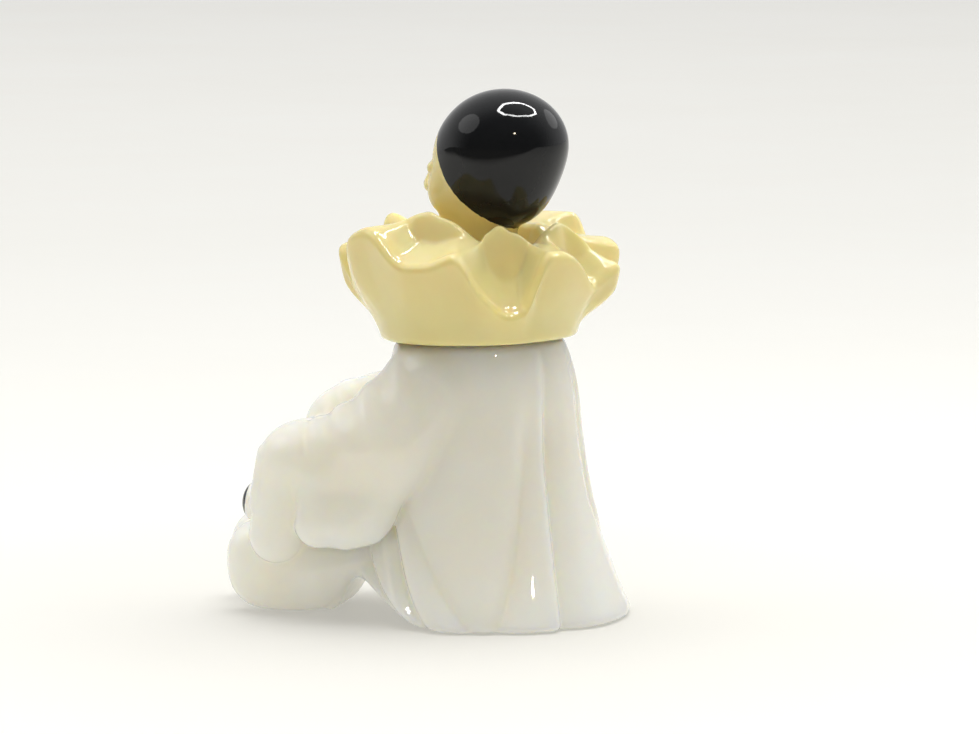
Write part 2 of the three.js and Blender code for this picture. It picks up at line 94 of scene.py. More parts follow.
# Folds of the ruff, anticlockwise from the front: bearing in degrees from +X, height and radius of the
# rim, then bearing, height and radius of the inner lip
FOLDS = (
    (-98, 18.2, 29.4, -98, 22, 15), (-87, 18.2, 29.4, -86, 21.6, 15), (-76, 11, 26, -74, 24.6, 15),
    (-60, 20.8, 28, -63, 24, 16.4), (-46, 22.8, 27, -52, 24.8, 16), (-22, 15.8, 26.4, -27, 27.3, 15),
    (-12, 15.9, 26.4, -14, 26, 15), (2, 17.8, 26.6, 15.6, 20.9, 15), (14, 10.2, 24.4, 22, 22.9, 15),
    (29, 5.3, 22.9, 31, 24.3, 15), (37.5, 6.2, 23.2, 40, 22.9, 15), (48, 17.4, 26.8, 59, 19.7, 15),
    (57, 17.2, 27, 67, 19.9, 15), (86, 9.8, 25.4, 86, 23.9, 17.4), (99, 13.6, 29.6, 101, 17.6, 22.4),
    (105, 11.5, 28.4, 107, 20, 20), (112, 16.8, 30, 114, 20.6, 17), (122, 17.8, 29.6, 126, 21, 15.6),
    (132, 17.2, 27.4, 138, 22.6, 15.4), (141, 22.6, 27, 148, 22.4, 15), (160, 22.6, 26.8, 163, 22.8, 15),
    (180, 12.5, 25.2, 180, 24.6, 15), (199, 20.2, 27, 198, 21, 15), (218, 12, 25.2, 217, 24.5, 15),
    (238, 23.4, 27, 238, 21.6, 15), (251, 11, 25.4, 251, 24, 15), (262, 18.2, 29.4, 262, 22, 15),
)

# Valleys between the folds of the smock: bearing at the hem, at mid height and at the shoulder,
# depth at the hem, width before and after the valley, and how far up the figure it reaches
FOLD_VALLEYS = (
    (-17, -94, -110, 1.8, 2.4, 3, 0.6), (-13, -53, -70, 1.9, 2.4, 3, 0.55), (8, -34, -50, 1.1, 3, 7, 0.5),
    (15, 33, 46, 1.5, 3.6, 8, 0.95), (44.5, 52.5, 58, 1.9, 2, 8, 1.15), (140, 92, 88, 1.2, 2.4, 2, 1.1),
    (135.5, 127.5, 122, 1.9, 8, 2, 1.15), (165, 147, 134, 1.5, 8, 3.6, 0.95), (172, 214, 230, 1.1, 7, 3, 0.5),
    (193, 233, 250, 1.9, 3, 2.4, 0.55), (197, 274, 290, 1.8, 3, 2.4, 0.6),
)

# Soft puffs along the sleeve: how far each crest is from the shoulder, their height, and the slope of
# the arm they lie along
PUFFS = (6.4, 14.1, 20.8, 26.4, 31.8)
PUFF_HEIGHT = 0.8
ARM_SLOPE = (0.894, 0.447)
ARM_START = (-8, 52)

# Round studs: middle, half sizes, pitch in degrees, and the radius of the black crown
STUDS = (
    ((0, -48.9, 21.6), (4.3, 3.1, 4.3), 7, 3.8),
    ((0, -20.2, 41.6), (3.3, 2.4, 3.3), 12, 2.6),
    ((0, -18.3, 50.0), (3.3, 2.4, 3.3), 4, 2.6),
)

# Slope of the skullcap's edge over the brow in degrees, and how far its point comes down the nape
COVER_TILT = 30
NAPE_DROP = 14.6

# Each side of the figure: sign of X, lift and draw-back of the forearm, lift and draw-back of the hand,
# and advance of the shoe
SIDES = ((1, 0.0, 0.0, 0.0, 0.0, 0.0), (-1, 6.2, 2.2, 3.0, 5.0, 3.4))


# Camera: bearing round the figure from its front, and the rest in metres, but for the lens in millimetres
CAMERA_BEARING = math.radians(103)
CAMERA_DISTANCE = 1.0
CAMERA_HEIGHT = 0.171
CAMERA_LENS = 178.9
SENSOR_WIDTH = 36.0
AIM = Vector((-0.000115, 0.0005, 0.0514))

# Floor, in metres: reach to each side, strength of its glow, share of the glow under the object, where the
# drop is a painted shadow, and how far out it is whole, and the same toward the dark side of the room, where
# the floor is painted dark as shade
FLOOR_REACH = 9.0
FLOOR_GLOW = 0.46
NEAR_GLOW = 0.6
NEAR_FADE = (0.02, 0.16)
DARK_BEARING = math.radians(75)
FAR_GLOW = 0.1
DARK_FADE = (0.16, 0.27)

# Ring lamp overhead, from the middle of the head: an octagon of narrow strips
HEAD_MIDDLE = Vector((0, 0.003, 0.095))
RING_MIDDLE = Vector((-0.08, 0.13, 0.45))
RING_ACROSS = Vector((-0.136, 0.173, 0))
RING_ALONG = Vector((0.1255, 0.0728, 0))
RING_SIDES = 8
RING_START = 0.2
STRIP_WIDTH = 0.026
STRIP_WATTS = 0.42

# Soft round boxes: name, bearing and height in degrees, size and watts, all at one distance
SOFT_BOXES = (("soft_front", 14, 41, (0.9, 0.7), 2.0), ("soft_back", -130, 28, (0.7, 0.42), 0.7))
SOFT_DISTANCE = 1.2

# Small warm lamp: way from the head, distance, size and watts
LAMP_WAY = Vector((0.687, 0.474, 0.55))
LAMP_DISTANCE = 1.5
LAMP_SIZE = 0.1
LAMP_WATTS = 2.2

# Fills that no gloss shows, for the ring's own light, the ceiling and the warm room behind the camera:
# name, place, size, watts and colour
FILLS = (
    ("fill_ring", Vector((-0.08, 0.13, 0.545)), 0.45, 1.5, (1, 1, 1)),
    ("fill_above", Vector((-0.1, -0.2, 3.0)), 3.0, 50.0, (1, 1, 1)),
    ("fill_front", Vector((0.97, 0.0, 0.25)), 1.0, 2.5, (1, 0.93, 0.78)),
    ("fill_low", Vector((0.75, -0.6, 0.06)), 0.5, 0.6, (1, 0.96, 0.84)),
)

# Room: how far a direction faces away from the camera where it turns from dark and where it is bright, and
# the strength of each
ROOM_SHADE = (-0.5, 0.4, 0.06, 0.72)


# Distances
def ease(t):
    """A share from nought to one that starts and ends gently."""
    t = np.clip(t, 0, 1)
    return t * t * (3 - 2 * t)


def blend(a, b, k):
    """Union of two distances with a soft join, k millimetres wide."""
    h = np.maximum(k - np.abs(a - b), 0) / k
    return np.minimum(a, b) - h * h * k / 4


def blend_cut(a, b, k):
    """What two distances have in common, with a soft edge."""
    return -blend(-a, -b, k)


def turn_difference(a, b):
    """Turn from b to a in degrees, from -180 to 180."""
    return (a - b + 180) % 360 - 180


def bar(p, a, b, ra, rb):
    """Distance to a tapered bar with round ends."""
    dx, dy, dz = (b[i] - a[i] for i in range(3))
    px, py, pz = (p[i] - a[i] for i in range(3))
    t = np.clip((px * dx + py * dy + pz * dz) / (dx * dx + dy * dy + dz * dz), 0, 1)
    return np.sqrt((px - dx * t) ** 2 + (py - dy * t) ** 2 + (pz - dz * t) ** 2) - (ra + (rb - ra) * t)


def egg(p, c, r, pitch=0.0):
    """Distance, near enough, to an ellipsoid pitched about X."""
    x, y, z = (p[i] - c[i] for i in range(3))
    if pitch:
        cs, sn = math.cos(math.radians(pitch)), math.sin(math.radians(pitch))
        y, z = cs * y + sn * z, cs * z - sn * y
    k0 = np.sqrt((x / r[0]) ** 2 + (y / r[1]) ** 2 + (z / r[2]) ** 2)
    k1 = np.sqrt((x / r[0] ** 2) ** 2 + (y / r[1] ** 2) ** 2 + (z / r[2] ** 2) ** 2)
    return k0 * (k0 - 1) / np.maximum(k1, 1e-6)


def smock(p):
    """The smock from shoulder to hem, a flared bell leaning a little forward, with its folds."""
    x, y, z = p
    h = z * GLASS_UNIT / SHOULDER_HEIGHT
    dy = y - 0.6 + 2 * h
    up = np.clip(1 - h, 0, 1.1)
    taper = np.clip((z - 43.5) / 13.5, 0, 1.2) ** 2.2
    radius = SMOCK_RADIUS + HEM_FLARE * up ** 2.7 - SHOULDER_TAPER * taper
    bearing = np.degrees(np.arctan2(dy, x))
    front = np.exp(-((turn_difference(bearing, -90) / 25) ** 2))
    radius = radius + FRONT_REACH * front * ease(1 - h / 0.4)
    rise = np.clip(h / FOLD_BEND, 0, 1) ** 0.8
    high = np.clip((h - FOLD_BEND) / (1 - FOLD_BEND), 0, 1)
    for hem, middle, top, depth, before, after, reach in FOLD_VALLEYS:
        line = hem + (middle - hem) * rise + (top - middle) * high
        arc = np.radians(turn_difference(bearing, line)) * radius
        width = np.where(arc < 0, before, after)
        arc = np.abs(arc)
        fade = depth * ease((reach - h) / (0.55 * reach))
        radius = radius - fade * np.exp(-(np.sqrt(arc * arc + 0.9) - 0.95) / (0.45 * width))
        radius = radius + 0.2 * fade * np.exp(-(((arc - 1.1 * width) / (0.7 * width)) ** 2))
    return (np.sqrt(x * x + dy * dy) - radius) * 0.93


def sleeve(p, lift, draw):
    """The arm in its sleeve, with soft puffs of gathered cloth along it."""
    elbow = (15.6, -17, 36.5 + 0.4 * lift)
    upper = bar(p, (9.5, -8, 46.2), elbow, 12, 10.4)
    d = blend(upper, bar(p, elbow, (15, -33 + draw, 31.5 + lift), 10.4, 8.2), 4)
    dy, dz = p[1] - ARM_START[0], p[2] - ARM_START[1]
    along = -ARM_SLOPE[0] * dy - ARM_SLOPE[1] * dz
    across = ARM_SLOPE[0] * dz - ARM_SLOPE[1] * dy
    for crest in PUFFS:
        d = d - PUFF_HEIGHT * np.exp(-(((along - crest) / 2) ** 2) - (across / 5.5) ** 2)
    return d


def sleeve_folds(p, lift, draw):
    """Cloth that hangs from the forearm: the mouth in front and a soft fall of folds behind it."""
    mouth = bar(p, (15.8, -36.6 + draw / 2, 33 + lift / 2), (15, -40.6, 17), 7, 5.8)
    fall = bar(p, (19, -29.4, 30), (19.6, -30.6, 20.2), 5.2, 4.9)
    for y, bottom, r in ((-25, 15.1, 5.2), (-20.6, 16.2, 4.8), (-18.2, 19.4, 4)):
        fall = blend(fall, bar(p, (19, y + 2, 30), (19.6, y, bottom + r), 5, r), 2)
    return blend(mouth, fall, 1.8)


def leg(p):
    """Thigh and shin under the smock."""
    thigh = bar(p, (7, -14, 26), (10.5, -35.5, 29.5), 8.6, 8.8)
    return blend(thigh, bar(p, (10.5, -35.5, 29.5), (8, -41, 12), 8.8, 7.4), 3)


def shoe(p, ahead):
    """Shoe with its instep and the run of the foot back under the hem."""
    sole = egg(p, (7.6, -40 - ahead, 6.6), (6.8, 12, 7.4), 2)
    instep = egg(p, (7.6, -46.2 - ahead, 11.2), (6.3, 7, 7.8))
    return blend(blend(sole, instep, 3), bar(p, (6.5, -22, 12.5), (8.2, -33.5, 9.5), 5.5, 7.4), 3)


def hand(p, lift, draw):
    """A hand laid over the knee, with four fingers down the shin."""
    d = egg(p, (13.6, -37.6 + draw, 34.6 + lift), (5.6, 7.4, 5.2), 35)
    for i in range(4):
        x = 9.6 + 2.5 * i
        low = 21.5 + 1.2 * abs(i - 1.3)
        d = blend(d, bar(p, (x, -42.2 + draw, 34 + lift), (x, -44.4 + draw / 2, low + lift), 1.9, 1.6), 0.8)
    return d


def to_cap(q):
    """Coordinates in the cap's frame, whose axis leans forward from the shoulder."""
    x, y, z = q
    cs, sn = math.cos(math.radians(CAP_LEAN)), math.sin(math.radians(CAP_LEAN))
    z = z - SHOULDER_HEIGHT
    return x, cs * y + sn * z, cs * z - sn * y


def neck(q):
    """The screw neck with its thread, and the bore to cut from it."""
    x, y, z = to_cap(q)
    r = np.sqrt(x * x + y * y)
    turn = np.arctan2(y, x) / (2 * math.pi) % 1
    start = (NECK_HEIGHT - THREAD_TURNS * THREAD_PITCH) / 2
    ridge = np.zeros_like(z)
    for lap in (0, 1):
        along = turn + lap
        off = np.abs(z - start - THREAD_PITCH * along) / 1.3
        ends = np.clip(np.minimum(along, THREAD_TURNS - along) * 6, 0, 1)
        ridge = np.maximum(ridge, THREAD_DEPTH * np.clip(1 - off, 0, 1) * ends)
    post = np.maximum(0.7 * (r - NECK_RADIUS - ridge), np.maximum(z - NECK_HEIGHT, -3 - z))
    bore = np.maximum(r - BORE_RADIUS, NECK_HEIGHT - BORE_DEPTH - z)
    return post, bore


def figure(q):
    """The whole outside of the glass, down to the floor."""
    p = tuple(v / GLASS_UNIT for v in q)
    x, y, z = p
    d = smock(p)
    for side, lift, draw, hand_lift, hand_draw, ahead in SIDES:
        s = (x * side, y, z)
        d = blend(d, blend(sleeve(s, lift, draw), sleeve_folds(s, lift, draw), 2.2), 1.6)
        d = blend(d, blend(leg(s), shoe(s, ahead), 1.6), 1)
        d = blend(d, hand(s, hand_lift, hand_draw), 1)
    shins = bar(p, (0, -38, 31), (0, -40, 19), 8.2, 7.6)
    between_shoes = egg(p, (0, -38, 8), (5, 12, 8))
    d = blend(blend(d, shins, 4), between_shoes, 2)
    for middle, halves, pitch, _ in STUDS:
        d = blend(d, egg(p, middle, halves, -pitch), 0.4)
    arch = ARCH_HEIGHT * np.exp(-(((y + 25) / np.where(y < -25, 4, 11.5)) ** 2)) - 0.5
    d = blend_cut(d, arch - z, 2.6)
    shoulder = z - SHOULDER_HEIGHT / GLASS_UNIT - math.tan(math.radians(CAP_LEAN)) * y
    d = blend_cut(d, shoulder, 1.6) * GLASS_UNIT
    post, bore = neck(q)
    return blend_cut(np.maximum(blend(d, post, 0.6), -bore), -q[2], HEM_ROUND)


def head(q):
    """The head about the middle of the skull, face towards -Y, with its neck."""
    p = tuple(v / HEAD_UNIT for v in q)
    d = blend(egg(p, (0, 0.5, 2.4), (13.5, 13.5, 11.8)), egg(p, (0, 0.3, -3), (10.9, 10.9, 11.4)), 3)
    d = blend(d, egg(p, (0, -5.6, -3.2), (10.4, 9.4, 12.2)), 3)
    for side in (1, -1):
        d = blend(d, egg(p, (4.8 * side, -10.6, -6.2), (4.4, 3.8, 4.4)), 2.5)
        d = blend_cut(d, -egg(p, (4.6 * side, -16.6, -0.7), (3.6, 2.5, 2.5)), 1.8)
        d = blend(d, egg(p, (4.5 * side, -12.9, -1.2), (2.7, 1.8, 1.7)), 0.6)
        d = blend(d, egg(p, (1.5 * side, -15.7, -5.2), (1.2, 1.4, 1.1)), 0.8)
    d = blend(d, egg(p, (0, -9.8, -12), (4.8, 4.4, 3.8)), 3)
    d = blend(d, bar(p, (0, -14, 0.6), (0, -16.6, -4.7), 1.2, 1.6), 1.6)
    d = blend(d, egg(p, (0, -14.4, -8.4), (2.8, 1.4, 0.85)), 0.6)
    d = blend(d, egg(p, (0, -14.1, -9.9), (2.3, 1.4, 0.85)), 0.5)
    d = blend(d, bar(p, (0, -5, -10), (0, -4.6, -30), 6.4, 7), 2)
    return d * HEAD_UNIT


def skullcap(q):
    """Distance inside the skullcap's edge, on the head's layout; negative on the face and neck."""
    x, y, z = q
    tilt = math.radians(COVER_TILT)
    brow = (y + 7.6) * math.cos(tilt) + z * math.sin(tilt) + 0.03 * x * x - 1.2
    return np.minimum(brow, z + NAPE_DROP)


# Surfaces
def sampled(distance, axes):
    """Distance over a grid, a few layers at a time."""
    layers = []
    for i in range(0, len(axes[0]), 4):
        layers.append(distance(np.meshgrid(axes[0][i:i + 4], axes[1], axes[2], indexing="ij")))
    return np.concatenate(layers)


def crossings(values, axis):
    """Grid edges along an axis that the surface crosses, and where on them."""
    low = [slice(None)] * 3
    high = [slice(None)] * 3
    low[axis], high[axis] = slice(0, -1), slice(1, None)
    a, b = values[tuple(low)], values[tuple(high)]
    crossed = (a < 0) != (b < 0)
    return a < 0, crossed, np.where(crossed, a / np.where(crossed, a - b, 1), 0)


def surface_nets(values, axes):
    """Quads over the surface where the values are nought: one corner in each cell it passes through."""
    cells = tuple(n - 1 for n in values.shape)
    total = np.zeros(cells + (3,))
    count = np.zeros(cells)
    for axis in range(3):
        _, crossed, along = crossings(values, axis)
        u, v = (i for i in range(3) if i != axis)
        for du in (0, 1):
            for dv in (0, 1):
                part = [slice(None)] * 3
                part[u], part[v] = slice(du, du + cells[u]), slice(dv, dv + cells[v])
                hit = crossed[tuple(part)]
                count += hit
                total[..., axis] += np.where(hit, along[tuple(part)], 0)
                total[..., u] += np.where(hit, du, 0)
                total[..., v] += np.where(hit, dv, 0)
    live = count > 0
    index = np.full(cells, -1)
    index[live] = np.arange(live.sum())
    start = np.array([a[0] for a in axes])
    step = axes[0][1] - axes[0][0]
    points = start + step * (np.argwhere(live) + total[live] / count[live][:, None])
    quads = []
    for axis in range(3):
        inside, crossed, _ = crossings(values, axis)
        u, v = (i for i in range(3) if i != axis)
        edges = np.argwhere(crossed)
        edges = edges[(edges[:, u] > 0) & (edges[:, v] > 0)]
        edges = edges[(edges[:, u] < cells[u]) & (edges[:, v] < cells[v])]
        corners = []
        for du, dv in ((0, 0), (1, 0), (1, 1), (0, 1)):
            cell = edges.copy()
            cell[:, u] -= du
            cell[:, v] -= dv
            corners.append(index[tuple(cell.T)])
        quad = np.stack(corners, 1)
        outward = inside[tuple(edges.T)] ^ (axis == 1)
        quad[~outward] = quad[~outward][:, ::-1]
        quads.append(quad)
    return points, np.concatenate(quads)


def gradient(distance, points):
    """Slope of a distance at points, by steps to both sides."""
    step = 0.04
    slopes = []
    for axis in range(3):
        shift = np.zeros(3)
        shift[axis] = step
        ahead, behind = distance((points + shift).T), distance((points - shift).T)
        slopes.append((ahead - behind) / (2 * step))
    return np.stack(slopes, 1)


def surface(distance, low, high, cell):
    """Mesh of the surface where a distance is nought, its corners set onto it."""
    axes = [np.arange(low[i], high[i] + cell, cell) for i in range(3)]
    points, quads = surface_nets(sampled(distance, axes), axes)
    for _ in range(2):
        slope = gradient(distance, points)
        off = distance(points.T) / np.maximum((slope ** 2).sum(1), 0.3)
        points = points - slope * np.clip(off, -0.5 * cell, 0.5 * cell)[:, None]
    return points, quads


# Ruff
def even_curve(bearings, values, at):
    """A smooth curve through values at their bearings that turns only at its crests and dips."""
    rise = np.diff(values) / np.diff(bearings)
    rise = np.append(rise[-1], np.append(rise, rise[0]))
    before, after = rise[:-1], rise[1:]
    alike = before * after > 0
    slopes = np.where(alike, 2 * before * after / np.where(alike, before + after, 1), 0)
    n = np.clip(np.searchsorted(bearings, at, side="right") - 1, 0, len(values) - 2)
    width = bearings[n + 1] - bearings[n]
    t = (at - bearings[n]) / width
    start = values[n] * (1 + 2 * t) + width * slopes[n] * t
    end = values[n + 1] * (3 - 2 * t) + width * slopes[n + 1] * (t - 1)
    return start * (1 - t) ** 2 + end * t * t


def fold_at(turn):
    """Rim and lip at a place along the folds: bearing, height and radius of each. The rim runs in
    even waves, and the lip in arches that meet in sharp dips."""
    rows = np.array(FOLDS, float)
    n = np.clip(np.floor(turn).astype(int), 0, len(rows) - 2)
    t = turn - n
    a, b = rows[n].T, rows[n + 1].T
    rim = a[0] + (b[0] - a[0]) * t
    wave = ease(t)
    arch = np.where(b[4] > a[4], np.sin(math.pi / 2 * t), 1 - np.cos(math.pi / 2 * t))
    lip_height = a[4] + (b[4] - a[4]) * (0.75 * arch + 0.25 * wave)
    heights = even_curve(rows[:, 0], rows[:, 1], rim)
    radii = even_curve(rows[:, 0], rows[:, 2], rim)
    lip = a[3] + (b[3] - a[3]) * t
    lip_radius = a[5] + (b[5] - a[5]) * wave
    return rim, heights * RUFF_UNIT, radii * RUFF_UNIT, lip, lip_height * RUFF_UNIT, lip_radius * RUFF_UNIT


def frill_top(turn, t):
    """Top of the frill from its lip (t = 0) to its roll (t = 1): a steep pocket behind each dip of the
    rim, and an even ridge behind each crest."""
    rim_b, rim_z, rim_r, lip_b, lip_z, lip_r = fold_at(turn)
    roll_z = rim_z + ROLL
    depth = np.clip((lip_z - roll_z - 2) / 7, 0, 1)
    pocket = 0.55 * (1 - ease(t / 0.2)) + 0.45 * (1 - t) ** 1.15
    share = depth * pocket + (1 - depth) * (1 - ease(0.9 * t + 0.05))
    r = lip_r + 0.7 + (rim_r - 1.1 * ROLL - lip_r - 0.7) * t
    return r, roll_z + (lip_z - 0.3 - roll_z) * share, lip_b + (rim_b - lip_b) * t


def ruff_wall(turn, v):
    """Outer wall from its foot (v = 0) to its roll (v = 1). The widest folds swell out low down."""
    rim_b, rim_z, rim_r = fold_at(turn)[:3]
    swell = np.clip((rim_r - 26) / 2.4, 0, 1)
    share = (1 - swell) * v ** 1.4 + swell * (0.35 * v + 0.65 * ease((v - 0.15) / 0.55))
    return RUFF_RADIUS + (rim_r - RUFF_RADIUS) * share, rim_z * v, rim_b


def one_wall_in(line, turn, t, side):
    """A point one wall inside a line of the ruff, square to it."""
    r, z, bearing = line(turn, t)
    r2, z2, _ = line(turn, t + 0.02)
    dr, dz = r2 - r, z2 - z
    k = side * CAP_WALL / np.maximum(np.hypot(dr, dz), 1e-6)
    return r + dz * k, z - dr * k, bearing


def ruff_section(turn):
    """Section of the ruff from the well's floor over the frill, down the wall and up the socket, as
    radius, height, bearing and share of the ruff's shift off the neck's axis."""
    rim_b, rim_z, rim_r, lip_b, lip_z, lip_r = fold_at(turn)
    socket = NECK_RADIUS + THREAD_DEPTH + THREAD_CLEARANCE
    ceiling = NECK_HEIGHT - SEAT_GAP + CEILING_CLEARANCE
    well = ceiling + CAP_WALL
    rows = [(0, well, lip_b), (4, well, lip_b), (lip_r - 5.2, well, lip_b), (lip_r - 4, well + 0.8, lip_b)]
    rows += [(lip_r - 3.2, well + 2.5, lip_b), (lip_r - 1.9, 0.3 * well + 0.7 * lip_z, lip_b)]
    rows += [(lip_r - 0.9, lip_z - 0.5, lip_b), (lip_r, lip_z, lip_b)]
    rows += [frill_top(turn, t) for t in np.linspace(0, 1, 22)]
    rows += [(rim_r - 0.4 * ROLL, rim_z + 0.8 * ROLL, rim_b)]
    rows += [ruff_wall(turn, v) for v in np.linspace(1, 0, 13)]
    rows += [(RUFF_RADIUS - CAP_WALL, 0, rim_b), one_wall_in(ruff_wall, turn, 0.45, -1)]
    rows += [one_wall_in(frill_top, turn, t, 1) for t in (0.7, 0.45, 0.2)]
    shifted = [row + (1,) for row in rows]
    skirt = socket + CAP_WALL
    inner = [(skirt, ceiling), (skirt, 0), (socket, 0), (socket, ceiling), (0, ceiling)]
    return shifted + [(r, z, lip_b, 0) for r, z in inner]


def ruff():
    """Closed shell from the section carried round the folds, its corners softened."""
    turn = np.arange((len(FOLDS) - 1) * FOLD_STEPS) / FOLD_STEPS
    rows = []
    for r, z, bearing, shift in ruff_section(turn):
        a = np.radians(bearing)
        rows.append(np.stack([r * np.cos(a), r * np.sin(a) + RUFF_SHIFT * shift, z + 0 * a], -1))
    dense = [rows[0]]
    for a, b in zip(rows[:-1], rows[1:]):
        parts = max(1, round(np.linalg.norm(b - a, axis=1).max() / RUFF_SPACING))
        dense += [a + (b - a) * (i + 1) / parts for i in range(parts)]
    dense = np.array(dense)
    for _ in range(2):
        dense[1:-1] = (dense[:-2] + 2 * dense[1:-1] + dense[2:]) / 4
    for _ in range(2):
        dense = (np.roll(dense, 1, axis=1) + 2 * dense + np.roll(dense, -1, axis=1)) / 4
    count, steps = dense.shape[:2]
    index = np.arange(count * steps).reshape(count, steps)
    after = np.roll(index, -1, axis=1)
    quads = np.stack([index[:-1], index[1:], after[1:], after[:-1]], -1).reshape(-1, 4)
    return dense.reshape(-1, 3), quads


# Meshes
def matrix(m):
    """A matrix of the scene as an array."""
    return np.array(m.to_4x4())


def moved(points, m):
    """Points carried by a four by four array."""
    return points @ m[:3, :3].T + m[:3, 3]


def make_piece(name, parts, node, materials):
    """A smooth mesh object in metres that stands for a CAD node. Each part gives its points, quads,
    material number and how far each point lies inside the painted area."""
    points, faces, numbers, paint = [], [], [], []
    for part_points, quads, number, part_paint in parts:
        quads = quads + sum(len(p) for p in points)
        faces += [list(dict.fromkeys(q)) for q in quads.tolist()]
        numbers += [number] * len(quads)
        points.append(part_points)
        paint.append(part_paint)
    mesh = bpy.data.meshes.new(name)
    mesh.from_pydata((np.concatenate(points) * MM).tolist(), [], faces)
    mesh.polygons.foreach_set("use_smooth", np.ones(len(faces), bool))
    mesh.polygons.foreach_set("material_index", np.array(numbers))
    mesh.attributes.new("paint", "FLOAT", "POINT").data.foreach_set("value", np.concatenate(paint))
    mesh.update()
    for material in materials:
        mesh.materials.append(material)
    piece = bpy.data.objects.new(name, mesh)
    bpy.context.scene.collection.objects.link(piece)
    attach(piece, "root")
    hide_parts(node)
    return piece


def make_figure(material):
    """The glass figure, with the black crowns of its studs marked for paint."""
    reach = 1.16 * SHOULDER_HEIGHT
    low = (-0.48 * reach, -0.92 * reach, -1.0)
    high = (0.48 * reach, 0.5 * reach, SHOULDER_HEIGHT + NECK_HEIGHT + 2)
    points, quads = surface(figure, low, high, GLASS_CELL)
    layout = points / GLASS_UNIT
    crown = np.full(len(points), -1.0)
    for middle, halves, pitch, radius in STUDS:
        out = np.array((0, -math.cos(math.radians(pitch)), math.sin(math.radians(pitch))))
        tip = np.array(middle) + out * halves[1]
        crown = np.maximum(crown, radius - np.linalg.norm(layout - tip, axis=1))
    return make_piece("seated_figure", [(points, quads, 0, crown)], "bottle", [material])


def make_cap(material):
    """The screw cap: the head, set over the ruff, and the ruff, both seated on the shoulder."""
    half = HEAD_HEIGHT / 2
    lean = Matrix.Rotation(math.radians(CAP_LEAN), 4, "X")
    seat = Matrix.Translation((0, 0, SHOULDER_HEIGHT)) @ lean @ Matrix.Translation((0, 0, SEAT_GAP))
    aside = Matrix.Rotation(math.radians(-HEAD_TURN), 4, "Z")
    bow = Matrix.Rotation(math.radians(HEAD_BOW), 4, "X")
    place = Matrix.Translation((0, 0.146 * HEAD_HEIGHT, 0.875 * RUFF_HEIGHT + half)) @ aside @ bow
    low, high = (-1.1 * half, -1.4 * half, -1.95 * half), (1.1 * half, 1.2 * half, 1.1 * half)
    points, quads = surface(head, low, high, HEAD_CELL)
    cover = skullcap(points.T / HEAD_UNIT)
    ruff_points, ruff_quads = ruff()
    parts = [
        (moved(moved(points, matrix(place)), matrix(seat)), quads, 0, cover),
        (moved(ruff_points, matrix(seat)), ruff_quads, 0, np.full(len(ruff_points), -1.0)),
    ]
    return make_piece("ruff_and_head", parts, "ruff_and_head_cap", [material])


# Materials
def linear(r, g, b):
    """A colour given as the eye reads it, 0 to 255, in linear light."""
    return tuple(((v / 255 + 0.055) / 1.055) ** 2.4 for v in (r, g, b)) + (1,)


class Shader:
    """A node material built from short calls."""

    def __init__(self, name):
        self.material = bpy.data.materials.new(name)
        self.material.use_nodes = True
        self.nodes = self.material.node_tree.nodes
        self.links = self.material.node_tree.links
        self.nodes.clear()
        self.place = self.add("ShaderNodeTexCoord").outputs["Object"]

    def add(self, kind, **values):
        """A new node with its properties set."""
        node = self.nodes.new(kind)
        for name, value in values.items():
            setattr(node, name, value)
        return node

    def set(self, node, **inputs):
        """Sets or links a node's inputs by name, or as i0, i1 and so on by number."""
        for name, value in inputs.items():
            numbered = name[0] == "i" and name[1:].isdigit()
            socket = node.inputs[int(name[1:]) if numbered else name]
            if isinstance(value, bpy.types.NodeSocket):
                self.links.new(value, socket)
            else:
                socket.default_value = value
        return node

    def noise(self, size, detail=2.0, roughness=0.5):
        """Noise with features about a size in millimetres."""
        node = self.add("ShaderNodeTexNoise")
        self.set(node, Vector=self.place, Scale=1 / (size * MM), Detail=detail, Roughness=roughness)
        return node.outputs["Fac"]

    def span(self, value, low, high, start=0.3, end=0.7):
        """A value carried from start..end to low..high, held at both ends."""
        node = self.add("ShaderNodeMapRange")
        self.set(node, Value=value, i1=start, i2=end, i3=low, i4=high)
        return node.outputs["Result"]

    def mix(self, factor, a, b):
        """Colour a carried to colour b by a factor."""
        node = self.add("ShaderNodeMix", data_type="RGBA")
        self.set(node, i0=factor, i6=a, i7=b)
        return node.outputs[2]

    def bump(self, height, depth, normal=None):
        """Relief of a height from nought to one, its depth in millimetres."""
        node = self.add("ShaderNodeBump")
        self.set(node, Height=height, Distance=depth * MM, Strength=1.0)
        if normal:
            self.set(node, Normal=normal)
        return node.outputs["Normal"]

    def principled(self, colour, roughness, normal, **constants):
        """The surface itself; constants are plain values on its other inputs."""
        node = self.add("ShaderNodeBsdfPrincipled")
        self.set(node, Roughness=roughness, Normal=normal, **{"Base Color": colour})
        for name, value in constants.items():
            node.inputs[name.replace("_", " ")].default_value = value
        return node.outputs["BSDF"]

    def finish(self, shader):
        """Links the last shader to the output and gives the material."""
        self.set(self.add("ShaderNodeOutputMaterial"), Surface=shader)
        return self.material

    def painted(self, under, over, ragged=0.12):
        """Paint over the surface where the paint attribute is above nought, its edge a little uneven."""
        paint = self.add("ShaderNodeAttribute", attribute_name="paint").outputs["Fac"]
        wander = self.span(self.noise(1.3, 3), -ragged, ragged)
        edge = self.add("ShaderNodeMath", operation="ADD")
        self.set(edge, i0=paint, i1=wander)
        cover = self.span(edge.outputs[0], 0, 1, -0.03, 0.03)
        mixed = self.add("ShaderNodeMixShader")
        self.set(mixed, i0=cover, i1=under, i2=over)
        return mixed.outputs[0]


